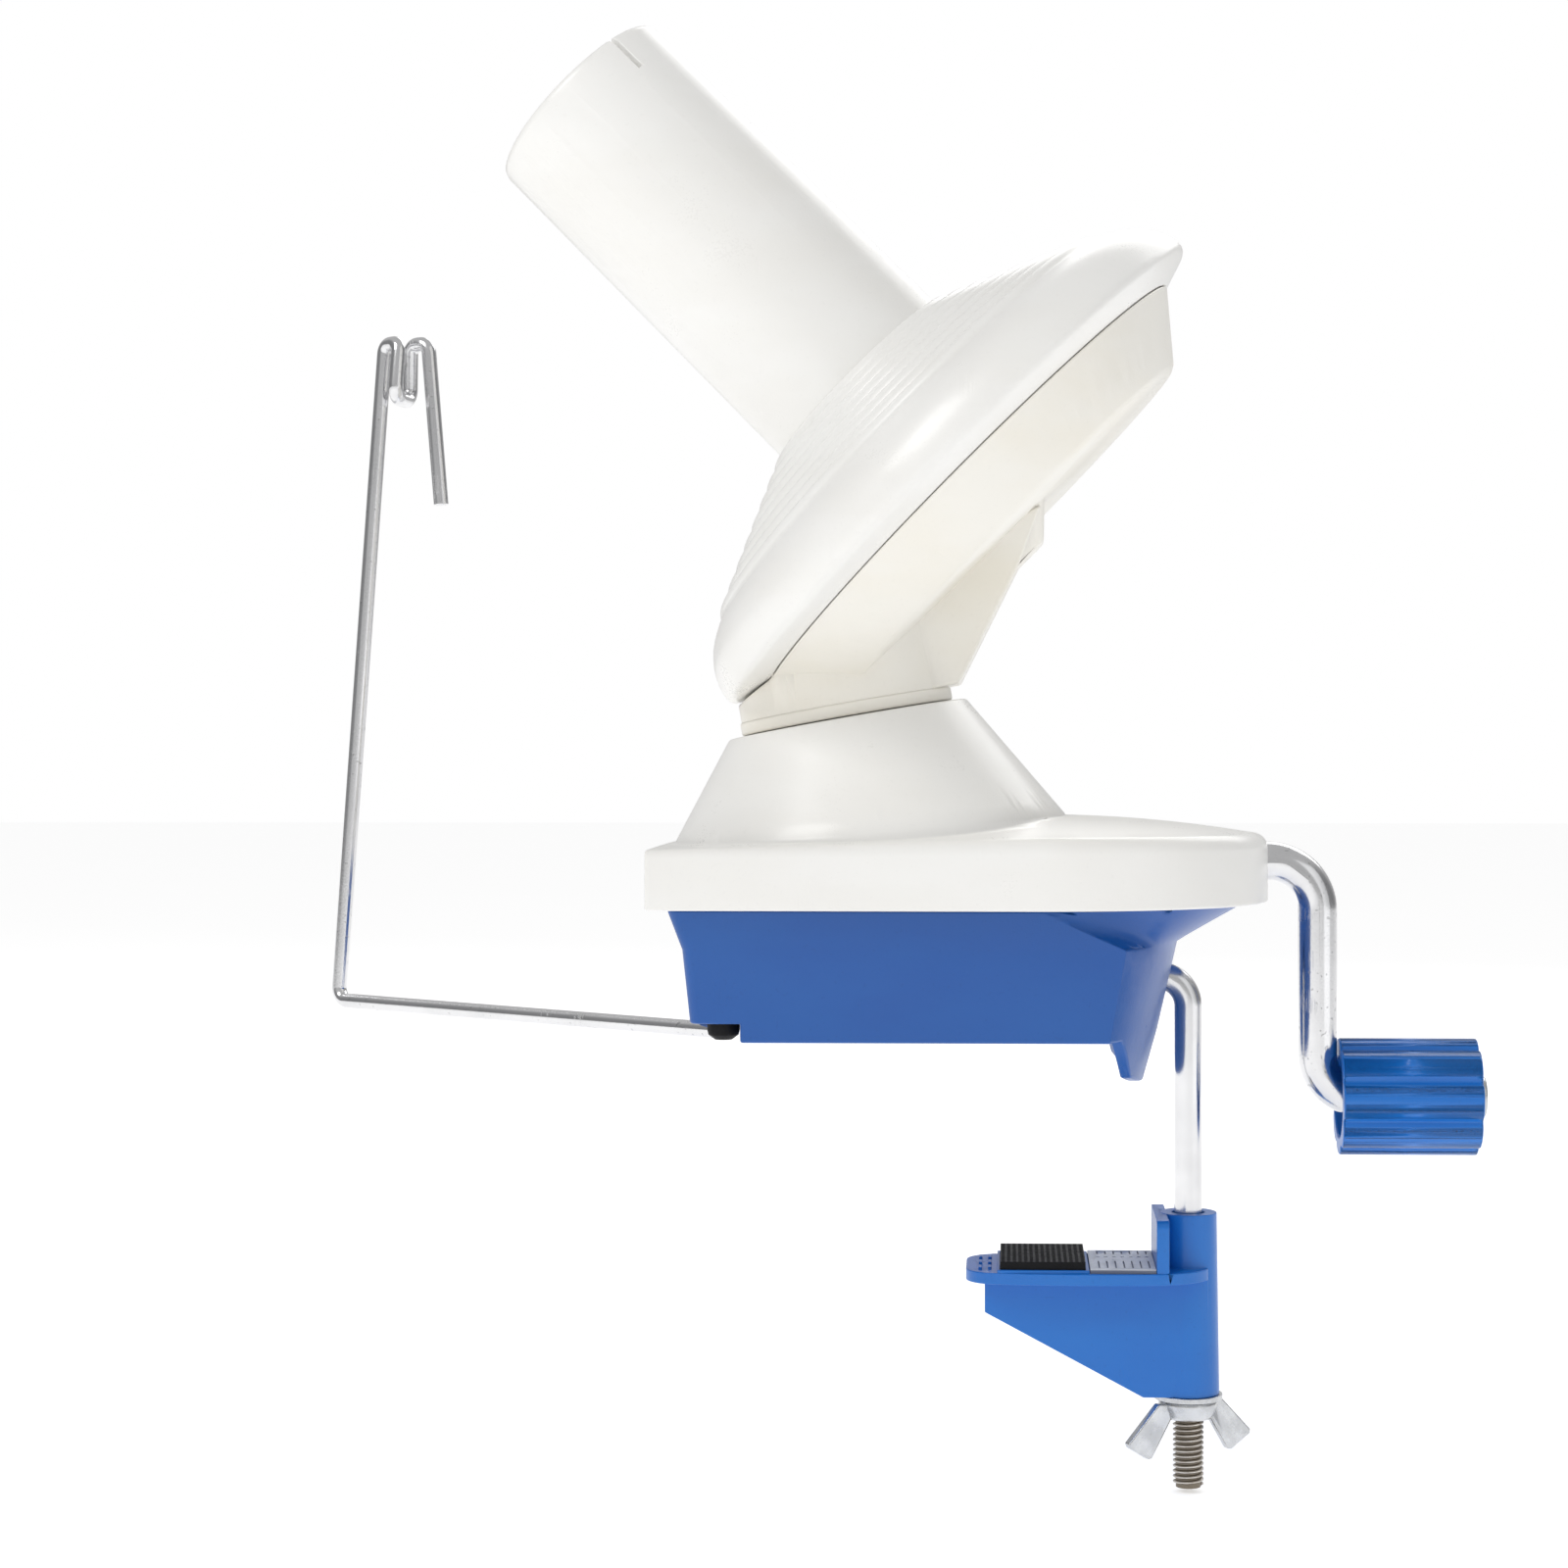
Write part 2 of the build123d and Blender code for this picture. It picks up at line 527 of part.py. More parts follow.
def make_winding_tube():
    """Tapered tube with two end slots; its foot flange carries the spool gear."""
    foot = SPOOL_GEAR_H + 1.6
    body = turned([(18.9, foot), (25.0, foot), (25.0, foot + 2.2), (21.0, foot + 2.2), (21.0, 27.0),
                   (20.2, TUBE_TOP - 1.4), (19.8, TUBE_TOP - 0.4), (19.1, TUBE_TOP), (18.5, TUBE_TOP - 0.3),
                   (18.15, TUBE_TOP - 1.2)])
    for k in range(2):
        slot = block(14.0, 24.0, -0.6, 0.6, TUBE_TOP - 8.0, TUBE_TOP + 2)
        body = body - Rot(0, 0, 180 * k - 53) * slot
    for k in range(3):
        body = body - Rot(0, 0, 120 * k) * Pos(23.0, 0, 0) * disc(1.2, foot - 1, foot + 3.0)
    return SPOOL.location * body


def make_spool_gear():
    gear = bevel_gear(SPOOL_TEETH, SPOOL_GEAR_R, SPOOL_GEAR_DISTANCE, 3.2, phase=180 / SPOOL_TEETH)
    gear = gear + ring(6.5, 3.0 + RUN, -1.6, 16.0)
    gear = gear - disc(3.0 + RUN, -5, 20)
    for k in range(6):
        gear = gear - Rot(0, 0, 60 * k + 30) * Pos(13.0, 0, 0) * disc(3.6, -5, 5)
    for k in range(3):
        gear = gear - Rot(0, 0, 120 * k) * Pos(23.0, 0, 0) * disc(1.0, -0.9, 5)
    return SPOOL.location * (Pos(0, 0, SPOOL_GEAR_H) * gear)


def make_spool_axle():
    top = SPOOL_GEAR_H + 16.4
    return SPOOL.location * (disc(3.0, -20.0, top) - disc(1.25, top - 8, top + 1))


# ---------------------------------------------------------------- yarn guide
def make_guide_wire():
    """Bent wire: a pivot pin, a level run, a leaning leg, and a pigtail of two arches and a loop."""
    px, py = GUIDE_PIVOT
    cx, cy = GUIDE_CORNER
    points = [(px, py, 14.0), (px, py, GUIDE_RUN_Z), (cx, cy, GUIDE_RUN_Z), (-108.6, cy, 137.4),
              (-105.0, cy - 3.4, 137.4), (-105.6, cy - 4.8, 126.0), (-104.0, cy + 3.4, 126.0),
              (-103.6, cy + 2.0, 137.6), (-99.6, cy, 137.6), (-96.9, cy, 104.2)]
    bends = (2.0, 2.6, 2.0, 2.0, 2.4, 2.4, 2.0, 2.0)
    return bent_wire(points, bends, GUIDE_R)


def make_guide_cap(wire):
    """Dark cap under the pivot's bend."""
    cap = turned([(0, 0.2), (1.6, 0.2), (2.8, 1.1), (3.0, 2.0), (3.0, 3.9), (0, 3.9)])
    cap = Pos(GUIDE_PIVOT[0], GUIDE_PIVOT[1], 0) * cap
    return cap - wire


# ---------------------------------------------------------------- table clamp
def make_clamp_block():
    """Collar on the rod, boat-shaped flange, wedge body below it, and an upright rib."""
    collar = Pos(ROD_X, 0, (JAW_COLLAR_TOP + JAW_FOOT) / 2) * Cone(6.0, 5.5, JAW_COLLAR_TOP - JAW_FOOT)
    with BuildSketch(Plane(origin=(0, 0, JAW_LOW))) as plan:
        with BuildLine():
            Line((12.2, -5.6), (12.2, 5.6))
            ThreePointArc((12.2, 5.6), (13.8, 9.4), (17.4, 11.4))
            ThreePointArc((17.4, 11.4), (34.0, 12.5), (49.5, 11.9))
            ThreePointArc((49.5, 11.9), (55.2, 9.4), (58.6, 5.2))
            Line((58.6, 5.2), (58.6, -5.2))
            ThreePointArc((58.6, -5.2), (55.2, -9.4), (49.5, -11.9))
            ThreePointArc((49.5, -11.9), (34.0, -12.5), (17.4, -11.4))
            ThreePointArc((17.4, -11.4), (13.8, -9.4), (12.2, -5.6))
        make_face()
    flange = extrude(plan.sketch, JAW_TOP - JAW_LOW)
    wedge_outline = Polyline((15.8, 0, JAW_LOW), (ROD_X, 0, JAW_LOW), (ROD_X, 0, JAW_FOOT),
                             (46.2, 0, JAW_FOOT), (15.8, 0, -54.6), close=True)
    wedge = extrude(make_face(wedge_outline), 5.2, both=True)
    seat = block(18.2, 35.8, -11.6, 11.6, JAW_TOP, JAW_TOP + 0.6)
    rib = block(48.5, 50.9, -11.6, 11.6, JAW_TOP, JAW_RIB_TOP)
    rib = fillet(rib.edges().filter_by(Axis.X).group_by(Axis.Z)[-1], 1.6)
    body = collar + flange + wedge + seat + rib
    for x in (14.6, 16.4):
        for y in (-6.0, 0.0, 6.0):
            body = body + block(x, x + 0.7, y - 1.4, y + 1.4, JAW_TOP, JAW_TOP + 0.5)
    recess = block(PAD_X[0] - 0.1, PAD_X[1] + 0.1, -PAD_HALF - 0.1, PAD_HALF + 0.1, JAW_TOP, JAW_TOP + 2)
    strip = block(35.8, 48.5, -STRIP_HALF - 0.1, STRIP_HALF + 0.1, JAW_TOP - 0.4, JAW_TOP + 1)
    return body - recess - strip - Pos(ROD_X, 0, 0) * disc(3.2, -80, -30)


def make_clamp_pad():
    """Rubber pad with a fine grid of square pits."""
    low_x, high_x = PAD_X
    columns, rows = 15, 22
    pitch_x = (high_x - low_x) / columns
    pitch_y = 2 * PAD_HALF / rows
    pits = []
    for i in range(columns):
        for j in range(rows):
            x = low_x + (i + 0.5) * pitch_x
            y = (j + 0.5) * pitch_y - PAD_HALF
            pits.append(block(x - 0.32, x + 0.32, y - 0.32, y + 0.32, PAD_TOP - 0.3, PAD_TOP + 1))
    return block(low_x, high_x, -PAD_HALF, PAD_HALF, JAW_TOP, PAD_TOP) - pits


def make_grip_strip():
    """Pale strip with seven rows across its top, each of two slots and a dot."""
    body = block(35.9, 48.4, -STRIP_HALF, STRIP_HALF, JAW_TOP - 0.4, STRIP_TOP)
    cuts = []
    for k in range(7):
        x = 37.7 + 1.6 * k
        for y0, y1 in ((-9.6, -1.4), (6.6, 10.4)):
            cuts.append(block(x - 0.15, x + 0.15, y0, y1, STRIP_TOP - 0.3, STRIP_TOP + 1))
        cuts.append(Pos(x, 3.4, 0) * disc(0.42, STRIP_TOP - 0.3, STRIP_TOP + 1))
    return body - cuts


def make_wing_nut():
    """Hub with a washer face and two flat wings that spread outwards and downwards."""
    top = JAW_FOOT - 1.2
    hub = turned([(0, top), (5.6, top), (5.8, top - 0.7), (5.0, top - 3.0), (4.4, top - 3.6), (0, top - 3.6)])
    outline = Polyline((3.4, 0, top - 0.6), (7.2, 0, top - 0.3), (14.0, 0, top - 7.2), (13.8, 0, top - 8.0),
                       (9.6, 0, top - 10.6), (8.8, 0, top - 10.5), (4.4, 0, top - 3.4), close=True)
    wing = extrude(make_face(outline), 0.9, both=True)
    body = hub + wing + Rot(0, 0, 180) * wing - disc(THREAD_R + RUN, top - 12, top + 1)
    return Pos(ROD_X, 0, 0) * Rot(0, 0, 30) * body


# ---------------------------------------------------------------- everything
def build():
    os.makedirs("parts", exist_ok=True)

    save("top_cover", make_top_cover())
    save("lower_housing", make_lower_housing())
    screws = []
    for x, y in HOUSING_SCREWS:
        head_z = 4.0
        screws.append(Pos(x, y, head_z) * Rot(180, 0, 0) * pan_screw(1.2, 2.9, 1.9, 24.0))
    save("housing_screws", Compound(children=screws))

    save("axle_bracket", make_axle_bracket())
    screws = [Pos(x, y, 8.0) * pan_screw(1.1, 1.9, 1.4, 6.0, 0.6) for x, y in BRACKET_SCREWS]
    save("bracket_screws", Compound(children=screws))
    save("head_axle", HEAD.location * (disc(2.5, -26.0, SUN_S + 2.0) - disc(1.2, SUN_S - 7, SUN_S + 3)))
    save("sun_gear", make_sun_gear())
    save("sun_gear_screw", HEAD.location * Pos(0, 0, SUN_S + 2.0) * pan_screw(1.2, 3.6, 1.8, 6.0))
    save("head_bush", make_head_bush())
    save("crank_bearing", make_crank_bearing())
    screws = [Pos(x, y, 27.5) * pan_screw(1.1, 2.2, 1.6, 9.0, 0.6) for x, y in BEARING_SCREWS]
    save("bearing_screws", Compound(children=screws))
    save("crank_bush", make_crank_bush())
    save("clamp_rod", make_clamp_rod())
    nuts = [Pos(x, 0, ROD_Z) * along_x(hex_nut(10.0, ROD_R, 4.6)) for x in (15.2, 26.2)]
    save("clamp_rod_nuts", Compound(children=nuts))

    save("crank_rod", make_crank_rod())
    save("crown_gear", make_crown_gear())
    screw = Rot(0, -90, 0) * pan_screw(1.25, 5.0, 1.6, 8.0, 0.7)
    save("crown_gear_screw", Pos(1.5, 0, CRANK_Z) * screw)
    save("shaft_collar", make_shaft_collar())
    save("collar_screw", Pos(15.0, 0, CRANK_Z) * disc(1.5, CRANK_R, 7.6))
    save("grip", make_grip())
    screw = Rot(0, 90, 0) * pan_screw(1.25, 4.0, 1.5, 9.0, 0.7)
    save("grip_screw", Pos(GRIP_X[1] + 0.2, 0, CRANK_PIN_Z) * screw)

    save("rotor_arm", make_rotor_arm())
    save("rotor_hub", make_rotor_hub())
    save("pinion", make_pinion())
    save("thrust_washer", HEAD.location * ring(14.0, 7.2, 0, TURN_GAP))
    save("spool_axle", make_spool_axle())
    save("spool_flange", make_spool_flange())
    save("winding_tube", make_winding_tube())
    save("spool_gear", make_spool_gear())
    seat = Pos(23.0, 0, SPOOL_GEAR_H + 3.8)
    screw = seat * pan_screw(1.0, 1.7, 1.2, 4.5, 0.5)
    screws = [SPOOL.location * Rot(0, 0, 120 * k) * screw for k in range(3)]
    save("spool_gear_screws", Compound(children=screws))
    save("spool_retainer", SPOOL.location * Pos(0, 0, SPOOL_GEAR_H + 16.4) * pan_screw(1.25, 5.4, 1.8, 7.0))

    wire = make_guide_wire()
    save("yarn_guide_wire", wire)
    save("guide_cap", make_guide_cap(wire))
    save("guide_retainer", Pos(GUIDE_PIVOT[0], GUIDE_PIVOT[1], 0) * ring(3.6, GUIDE_R, 11.2, 12.4))

    save("clamp_block", make_clamp_block())
    save("clamp_pad", make_clamp_pad())
    save("grip_strip", make_grip_strip())
    save("clamp_washer", Pos(ROD_X, 0, 0) * ring(6.6, 3.2, JAW_FOOT - 1.0, JAW_FOOT))
    save("wing_nut", make_wing_nut())


build()
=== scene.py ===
"""Ball winder: the finished look of a table-clamped wool winder, laid out as a Blender add-on.

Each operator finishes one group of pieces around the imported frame: the mouldings, the ridged flange,
the bent rods with their rolled thread, the clamp's jaw, the gears and the small hardware.
Lengths are metres, in the frame's own axes: +Z up, +X towards the crank.
"""

import json
import math

import bmesh
import bpy
from bpy.props import FloatProperty, FloatVectorProperty, IntProperty, PointerProperty
from mathutils import Matrix, Vector


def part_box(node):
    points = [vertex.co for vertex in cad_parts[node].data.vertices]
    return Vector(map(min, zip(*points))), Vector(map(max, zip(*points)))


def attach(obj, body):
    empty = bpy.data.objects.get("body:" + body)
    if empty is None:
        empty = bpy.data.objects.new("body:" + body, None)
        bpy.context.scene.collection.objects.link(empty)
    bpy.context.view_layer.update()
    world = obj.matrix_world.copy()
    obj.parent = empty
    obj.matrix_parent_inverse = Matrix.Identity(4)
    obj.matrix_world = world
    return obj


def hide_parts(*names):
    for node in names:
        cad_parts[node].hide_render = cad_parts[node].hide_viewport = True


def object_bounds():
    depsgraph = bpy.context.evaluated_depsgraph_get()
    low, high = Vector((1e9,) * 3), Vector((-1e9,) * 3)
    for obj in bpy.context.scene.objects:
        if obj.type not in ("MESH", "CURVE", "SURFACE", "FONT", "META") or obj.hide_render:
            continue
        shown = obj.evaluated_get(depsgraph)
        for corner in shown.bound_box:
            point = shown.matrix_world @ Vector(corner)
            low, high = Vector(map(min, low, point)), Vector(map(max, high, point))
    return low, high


bl_info = {
    "name": "Ball winder",
    "version": (1, 0, 0),
    "blender": (4, 5, 0),
    "location": "View3D > Sidebar > Ball winder",
    "description": "Builds the finished pieces and the studio of a table-clamped ball winder",
    "category": "Object",
}

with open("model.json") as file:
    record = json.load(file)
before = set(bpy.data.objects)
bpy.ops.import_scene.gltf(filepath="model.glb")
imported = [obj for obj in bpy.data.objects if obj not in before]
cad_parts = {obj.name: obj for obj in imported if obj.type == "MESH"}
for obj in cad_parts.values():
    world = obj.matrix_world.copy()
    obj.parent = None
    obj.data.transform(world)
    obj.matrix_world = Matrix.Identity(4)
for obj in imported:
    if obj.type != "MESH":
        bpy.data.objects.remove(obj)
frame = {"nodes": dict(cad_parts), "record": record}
CAD_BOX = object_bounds()
RECORD = frame["record"]
MM = 0.001

BODY_OF = {node: body for body, nodes in RECORD["behaviour"]["bodies"].items() for node in nodes}
SLOT_OF = {part["node"]: part["material_slot"] for part in RECORD["subparts"]}
JOINTS = {joint["name"]: joint for joint in RECORD["behaviour"]["joints"]}
THREAD_PITCH = 1.0 * MM
THREAD_TOP = -48.0 * MM     # height at which the clamp rod's thread ends
SHARP = math.radians(38.0)  # outer edges sharper than this may be rounded
BLUE_TINT = (0.85, 0.92, 0.98)
CREAM_TINT = (1.0, 0.985, 0.95)
LATHE_STEPS = 160
RING_STEPS = 9              # points across one ring of the flange
THREAD_STEPS = 36           # steps in one turn of the thread


# ---------------------------------------------------------------- settings
class WinderSizes(bpy.types.PropertyGroup):
    """Sizes of the finished pieces that a user may change."""

    moulding_edge: FloatProperty(
        name="Moulding edge", description="Rounding of the mouldings' outer edges",
        default=0.45 * MM, min=0.0, unit="LENGTH")
    hardware_edge: FloatProperty(
        name="Hardware edge", description="Rounding of the edges of screws, nuts and washers",
        default=0.12 * MM, min=0.0, unit="LENGTH")
    flange_ridges: IntProperty(
        name="Flange ridges", description="Number of raised rings on the spool's flange", default=8, min=1)
    ridge_height: FloatProperty(
        name="Ridge height", description="Height of one ring on the spool's flange",
        default=0.95 * MM, min=0.0, unit="LENGTH")
    thread_root: FloatProperty(
        name="Thread root", description="Radius at the bottom of the clamp rod's thread",
        default=2.42 * MM, min=0.0, unit="LENGTH")
    thread_crest: FloatProperty(
        name="Thread crest", description="Radius at the top of the clamp rod's thread",
        default=2.98 * MM, min=0.0, unit="LENGTH")


class WinderColours(bpy.types.PropertyGroup):
    """Colours of the finishes."""

    white: FloatVectorProperty(
        name="White", description="Cover, flange and tube", subtype="COLOR", size=3,
        default=(0.890, 0.884, 0.862), min=0.0, max=1.0)
    cream: FloatVectorProperty(
        name="Cream", description="Turning arm under the spool", subtype="COLOR", size=3,
        default=(0.885, 0.864, 0.805), min=0.0, max=1.0)
    blue: FloatVectorProperty(
        name="Blue", description="Lower housing", subtype="COLOR", size=3,
        default=(0.003, 0.088, 0.360), min=0.0, max=1.0)
    light_blue: FloatVectorProperty(
        name="Light blue", description="Grip and clamp block", subtype="COLOR", size=3,
        default=(0.006, 0.160, 0.560), min=0.0, max=1.0)
    nylon: FloatVectorProperty(
        name="Nylon", description="Gears", subtype="COLOR", size=3,
        default=(0.760, 0.740, 0.680), min=0.0, max=1.0)
    floor: FloatVectorProperty(
        name="Floor", description="Studio floor", subtype="COLOR", size=3,
        default=(0.86, 0.86, 0.86), min=0.0, max=1.0)


class WinderStudio(bpy.types.PropertyGroup):
    """Camera and light."""

    camera_place: FloatVectorProperty(
        name="Camera place", description="Where the camera stands", subtype="TRANSLATION", size=3,
        default=(0.020, -0.590, 0.052))
    camera_turn: FloatProperty(
        name="Camera turn", description="Turn of the camera to the left of straight ahead", subtype="ANGLE",
        default=math.radians(1.955))
    lens: FloatProperty(
        name="Lens", description="Focal length on a 36 mm wide sensor, in millimetres", default=69.86)
    shift_across: FloatProperty(
        name="Shift across", description="Sideways shift of the frame", default=-0.0757)
    shift_up: FloatProperty(name="Shift up", description="Upward shift of the frame", default=-0.0169)
    sky: FloatProperty(name="Sky", description="Strength of the even studio light", default=0.56, min=0.0)


# ---------------------------------------------------------------- shader maths
class Term:
    """A shader value. Arithmetic on it adds the Math nodes that it needs."""

    def __init__(self, finish, socket):
        self.finish = finish
        self.socket = socket

    def _math(self, operation, first, second):
        return self.finish.node("Math", {"operation": operation}, {0: first, 1: second})

    def __add__(self, other):
        return self._math("ADD", self, other)

    def __radd__(self, other):
        return self._math("ADD", other, self)

    def __sub__(self, other):
        return self._math("SUBTRACT", self, other)

    def __rsub__(self, other):
        return self._math("SUBTRACT", other, self)

    def __mul__(self, other):
        return self._math("MULTIPLY", self, other)

    def __rmul__(self, other):
        return self._math("MULTIPLY", other, self)

    def __pow__(self, other):
        return self._math("POWER", self, other)

    def between(self, low, high):
        """0 at low and below, 1 at high and above, smooth in the middle."""
        settings = {"interpolation_type": "SMOOTHSTEP"}
        return self.finish.node("MapRange", settings, {"Value": self, "From Min": low, "From Max": high})


class Graph:
    """A node tree that shader values can be added to."""

    def __init__(self, tree):
        self.tree = tree

    def node(self, kind, settings=None, inputs=None, output=0):
        """Adds a node of a kind, with its settings first and then its sockets' values or links."""
        node = self.tree.nodes.new("ShaderNode" + kind)
        for name, value in (settings or {}).items():
            setattr(node, name, value)
        for name, value in (inputs or {}).items():
            self.feed(node.inputs[name], value)
        return Term(self, node.outputs[output])

    def feed(self, socket, value):
        if isinstance(value, Term):
            self.tree.links.new(value.socket, socket)
        else:
            socket.default_value = value

    def blend(self, factor, first, second):
        """A colour between two colours."""
        settings = {"data_type": "RGBA", "clamp_factor": True}
        return self.node("Mix", settings, {0: factor, 6: first, 7: second}, output=2)


class Finish(Graph):
    """One material: a Principled shader and the nodes behind it."""

    def __init__(self, name, **constants):
        self.material = bpy.data.materials.new(name)
        self.material.use_nodes = True
        super().__init__(self.material.node_tree)
        self.shader = self.tree.nodes["Principled BSDF"]
        for label, value in constants.items():
            self.shader.inputs[label.replace("_", " ")].default_value = value
        self.place = self.node("TexCoord", output="Object")

    def drive(self, label, value):
        """Lets a value or link drive one of the shader's sockets."""
        self.feed(self.shader.inputs[label], value)

    def stretched(self, scale, turn=(0.0, 0.0, 0.0)):
        """Object coordinates, turned and scaled by axis."""
        return self.node("Mapping", None, {"Vector": self.place, "Scale": scale, "Rotation": turn})

    def noise(self, scale, detail=2.0, rough=0.5, place=None):
        inputs = {"Vector": place or self.place, "Scale": scale, "Detail": detail, "Roughness": rough}
        return self.node("TexNoise", None, inputs)

    def raise_by(self, height, distance, strength=1.0):
        """Bumps the surface by a height."""
        inputs = {"Height": height, "Distance": distance, "Strength": strength}
        self.drive("Normal", self.node("Bump", None, inputs))


def shade(colour, factor, alpha=1.0):
    """A colour made lighter or darker, with its alpha."""
    return tuple(min(1.0, channel * factor) for channel in colour) + (alpha,)


def hairlines(finish, scale, width):
    """A mask of a few fine scratches in three directions."""
    total = None
    for turn in (0.35, 1.45, 2.6):
        place = finish.stretched((1.0, 0.035, 0.035), (turn, turn * 0.7, turn * 1.3))
        line = (finish.noise(scale, 1.0, 0.4, place) - 0.5) ** 2.0
        mask = 1.0 - line.between(0.0, width)
        total = mask if total is None else total + mask
    sparse = finish.noise(scale * 0.12, 1.0).between(0.58, 0.72)
    return total * sparse


# ---------------------------------------------------------------- finishes
def moulded_plastic(name, colour, gloss, warm=(1.0, 0.995, 0.985), grain=1.0, specks=0.06):
    """Glossy moulded plastic: faint flow marks, specks, smudges, hairlines and an orange-peel skin."""
    finish = Finish(name, IOR=1.49, Coat_Weight=0.12, Coat_Roughness=0.18)
    flow = finish.noise(22.0, 3.0, 0.55, finish.stretched((1.0, 1.0, 2.6), (0.2, 0.4, 0.1)))
    smudge = finish.noise(70.0, 5.0, 0.6)
    peel = finish.noise(520.0, 2.0, 0.5)
    fine = finish.noise(2600.0, 1.0, 0.5)
    speck = finish.noise(1500.0, 0.0).between(0.74, 0.78)
    scratch = hairlines(finish, 900.0, 0.00006)
    tinted = tuple(channel * tone for channel, tone in zip(colour, warm))
    body = finish.blend(flow.between(0.35, 0.68), shade(colour, 1.0), shade(tinted, 0.975))
    body = finish.blend(speck * specks, body, shade(tinted, 0.72))
    finish.drive("Base Color", finish.blend(scratch * 0.10, body, shade(colour, 1.10)))
    finish.drive("Roughness", gloss + 0.10 * (smudge - 0.5) + 0.05 * fine + 0.12 * scratch)
    finish.raise_by(0.55 * peel + 0.30 * grain * fine + 0.45 * flow - 0.30 * scratch, 0.00007, 0.55)
    return finish.material


def plated_rod(name, colour, roughness):
    """Bright plating over drawn wire: fine draw lines, pits and handling smudges."""
    finish = Finish(name, Metallic=1.0)
    smudge = finish.noise(55.0, 5.0, 0.62)
    fine = finish.noise(2400.0, 2.0)
    pit = finish.noise(1300.0, 0.0).between(0.75, 0.80)
    scratch = hairlines(finish, 1300.0, 0.00010)
    body = finish.blend(smudge.between(0.40, 0.70), shade(colour, 1.0), shade(colour, 0.90))
    finish.drive("Base Color", finish.blend(pit * 0.5, body, shade(colour, 0.45)))
    finish.drive("Roughness", roughness + 0.10 * smudge + 0.04 * fine + 0.15 * scratch)
    finish.raise_by(0.5 * fine - 0.6 * scratch - 0.5 * pit, 0.00003, 0.5)
    return finish.material


def zinc_plate(name, colour, roughness):
    """Bright zinc on small hardware: cloudy tone, fine grain and darker handling marks."""
    finish = Finish(name, Metallic=1.0)
    cloud = finish.noise(260.0, 4.0, 0.6)
    grain = finish.noise(3000.0, 2.0)
    mark = finish.noise(620.0, 3.0, 0.7).between(0.60, 0.75)
    body = finish.blend(cloud.between(0.35, 0.65), shade(colour, 1.05), shade(colour, 0.84))
    finish.drive("Base Color", finish.blend(mark * 0.4, body, shade(colour, 0.55)))
    finish.drive("Roughness", roughness + 0.16 * cloud + 0.10 * mark)
    finish.raise_by(0.6 * grain + 0.6 * cloud, 0.00004, 0.6)
    return finish.material


def rolled_thread(name, axis_x, root, crest):
    """Plated rod whose thread keeps a warm dark film in its grooves."""
    finish = Finish(name, Metallic=1.0)
    centred = finish.node("Mapping", None, {"Vector": finish.place, "Location": (-axis_x, 0.0, 0.0)})
    flat = finish.node("VectorMath", {"operation": "MULTIPLY"}, {0: centred, 1: (1.0, 1.0, 0.0)})
    radius = finish.node("VectorMath", {"operation": "LENGTH"}, {0: flat}, output="Value")
    height = finish.node("SeparateXYZ", None, {"Vector": finish.place}, output="Z")
    threaded = 1.0 - height.between(THREAD_TOP - 0.4 * MM, THREAD_TOP + 0.2 * MM)
    crest_mask = radius.between(root + 0.10 * MM, crest - 0.08 * MM)
    cloud = finish.noise(420.0, 4.0, 0.6)
    smudge = finish.noise(60.0, 4.0)
    metal = finish.blend(cloud.between(0.35, 0.65), (0.66, 0.63, 0.58, 1.0), (0.52, 0.48, 0.43, 1.0))
    worn = finish.blend(crest_mask, (0.210, 0.180, 0.140, 1.0), metal)
    bright = finish.blend(smudge.between(0.4, 0.7), (0.78, 0.78, 0.79, 1.0), (0.68, 0.68, 0.69, 1.0))
    finish.drive("Base Color", finish.blend(threaded, bright, worn))
    finish.drive("Roughness", 0.15 + 0.08 * smudge + threaded * (0.16 + 0.14 * cloud))
    finish.raise_by(cloud * threaded, 0.00003, 0.5)
    return finish.material


def natural_nylon(name, colour):
    """Unpainted nylon for gears and bushes: waxy, with a film of grease in patches."""
    finish = Finish(name, IOR=1.53)
    cloud = finish.noise(130.0, 4.0, 0.6)
    grease = finish.noise(240.0, 5.0, 0.65).between(0.52, 0.66)
    fine = finish.noise(1900.0, 2.0)
    body = finish.blend(cloud.between(0.3, 0.7), shade(colour, 1.0), shade(colour, 0.90))
    finish.drive("Base Color", finish.blend(grease * 0.35, body, shade((0.62, 0.56, 0.42), 1.0)))
    finish.drive("Roughness", 0.50 + 0.12 * cloud - 0.26 * grease)
    finish.raise_by(0.5 * fine + 0.8 * grease, 0.00006, 0.5)
    return finish.material


def knurled_rubber(name):
    """Black rubber: dull, finely pitted, dusty on some of its tips."""
    finish = Finish(name, IOR=1.50, Specular_IOR_Level=0.22)
    dust = finish.noise(330.0, 5.0, 0.65).between(0.50, 0.74)
    fine = finish.noise(1700.0, 3.0, 0.6)
    body = finish.blend(dust * 0.5, (0.0040, 0.0040, 0.0048, 1.0), (0.018, 0.018, 0.020, 1.0))
    finish.drive("Base Color", body)
    finish.drive("Roughness", 0.52 + 0.16 * fine + 0.12 * dust)
    finish.raise_by(fine, 0.00012, 0.7)
    return finish.material


